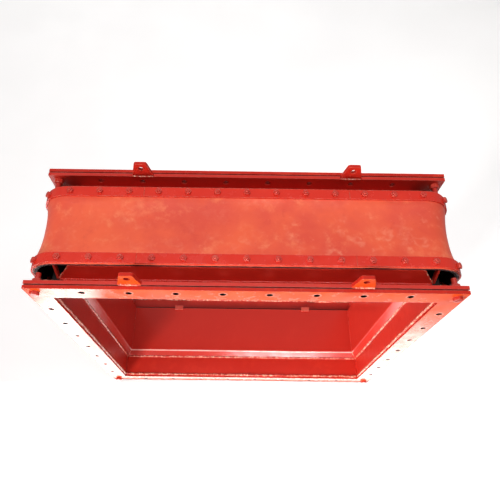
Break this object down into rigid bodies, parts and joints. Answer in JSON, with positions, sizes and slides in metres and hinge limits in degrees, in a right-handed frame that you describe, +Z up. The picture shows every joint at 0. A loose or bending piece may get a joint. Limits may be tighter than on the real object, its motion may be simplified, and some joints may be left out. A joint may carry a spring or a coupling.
{
  "type": "rectangular fabric duct expansion joint",
  "caption": "Rectangular duct expansion joint: flexible fabric belt clamped between two bolted steel angle frames, with an inner flow liner and lifting lugs, to take up axial movement.",
  "frame": {"origin": "centre of the base of the bounding box, level with the lowest clamp bolt tips, the joint standing upright", "axes": "X along the long side of the opening, Y along the duct axis from inlet (-Y) to outlet (+Y), Z up"},
  "size_m": [0.978, 0.325, 0.913],
  "materials": {
    "painted_frame": "red oxide gloss primer over welded steel",
    "painted_clamp_bars": "red gloss primer over flat bar",
    "painted_fasteners": "red primer brushed over steel fasteners",
    "painted_liner": "red primer over sheet steel, thinner coat",
    "belt_fabric": "red painted rubber-coated fabric, black inside",
    "gasket_fibre": "dark compressed fibre"
  },
  "bodies": {
    "inlet_frame": {"inlet_companion_flange_top": "painted_frame", "inlet_angle_top": "painted_frame", "inlet_standoff_plate_top": "painted_frame", "inlet_companion_flange_bottom": "painted_frame", "inlet_angle_bottom": "painted_frame", "inlet_standoff_plate_bottom": "painted_frame", "inlet_companion_flange_left": "painted_frame", "inlet_angle_left": "painted_frame", "inlet_standoff_plate_left": "painted_frame", "inlet_companion_flange_right": "painted_frame", "inlet_angle_right": "painted_frame", "inlet_standoff_plate_right": "painted_frame", "inlet_gasket": "gasket_fibre", "inlet_belt_seat": "painted_frame", "inlet_corner_gussets": "painted_frame", "inlet_clamp_bars_straight": "painted_clamp_bars", "inlet_clamp_bars_corner": "painted_clamp_bars", "inlet_clamp_bolts": "painted_fasteners", "inlet_clamp_nuts": "painted_fasteners", "inlet_shipping_bolts": "painted_fasteners", "inlet_shipping_nuts": "painted_fasteners", "inlet_lifting_lug_left": "painted_frame", "inlet_lifting_lug_right": "painted_frame", "belt": "belt_fabric", "liner_panel_top": "painted_liner", "liner_panel_bottom": "painted_liner", "liner_panel_left": "painted_liner", "liner_panel_right": "painted_liner", "liner_guide_tab_left": "painted_liner", "liner_guide_tab_right": "painted_liner"},
    "outlet_frame": {"outlet_companion_flange_top": "painted_frame", "outlet_angle_top": "painted_frame", "outlet_standoff_plate_top": "painted_frame", "outlet_companion_flange_bottom": "painted_frame", "outlet_angle_bottom": "painted_frame", "outlet_standoff_plate_bottom": "painted_frame", "outlet_companion_flange_left": "painted_frame", "outlet_angle_left": "painted_frame", "outlet_standoff_plate_left": "painted_frame", "outlet_companion_flange_right": "painted_frame", "outlet_angle_right": "painted_frame", "outlet_standoff_plate_right": "painted_frame", "outlet_gasket": "gasket_fibre", "outlet_belt_seat": "painted_frame", "outlet_corner_gussets": "painted_frame", "outlet_clamp_bars_straight": "painted_clamp_bars", "outlet_clamp_bars_corner": "painted_clamp_bars", "outlet_clamp_bolts": "painted_fasteners", "outlet_clamp_nuts": "painted_fasteners", "outlet_shipping_bolts": "painted_fasteners", "outlet_shipping_nuts": "painted_fasteners", "outlet_lifting_lug_left": "painted_frame", "outlet_lifting_lug_right": "painted_frame"}
  },
  "joints": [
    {"name": "axial_travel", "type": "slide", "parent": "inlet_frame", "child": "outlet_frame", "axis": [0, 1, 0], "range_m": [-0.04, 0.005], "stiffness_N_per_m": 3000, "deforming": ["belt"]}
  ]
}
